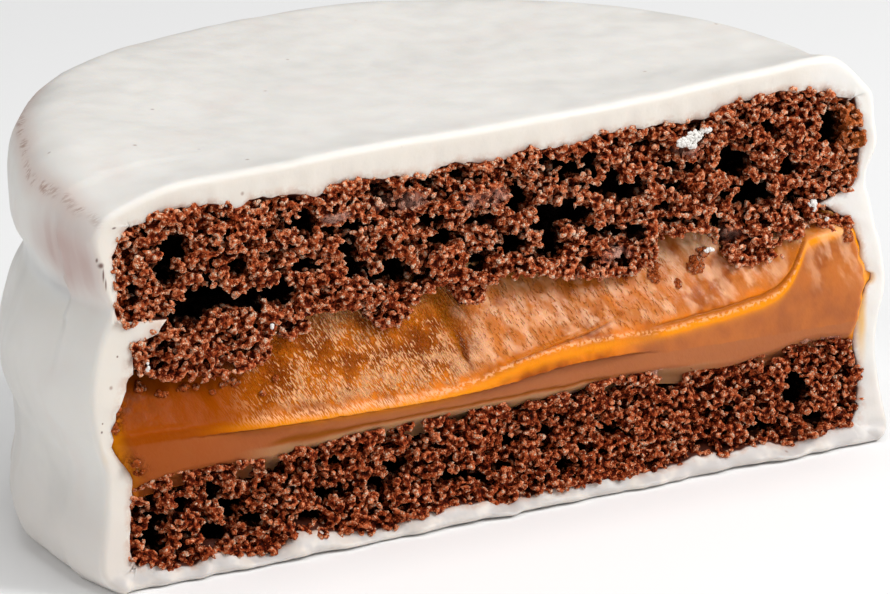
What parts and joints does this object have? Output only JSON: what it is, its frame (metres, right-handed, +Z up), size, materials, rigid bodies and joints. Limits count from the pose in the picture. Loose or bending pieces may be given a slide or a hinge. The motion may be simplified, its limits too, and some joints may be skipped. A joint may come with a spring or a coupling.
{
  "type": "alfajor cookie half",
  "caption": "Cut half of a round chocolate alfajor: biscuits around a thick caramel filling, coated all over in white icing, with a flat cut face.",
  "frame": {"origin": "middle of the half's box in X and Y, on the surface that it stands on", "axes": "+Z up, the flat cut face looks along -Y, +X to the right as one faces the cut"},
  "size_m": [0.0659, 0.0389, 0.0301],
  "materials": {
    "white_icing": null,
    "chocolate_crumb": null,
    "dulce_de_leche": null
  },
  "bodies": {
    "root": {"white_icing": "white_icing", "upper_biscuit": "chocolate_crumb", "dulce_de_leche": "dulce_de_leche", "lower_biscuit": "chocolate_crumb"}
  },
  "joints": []
}
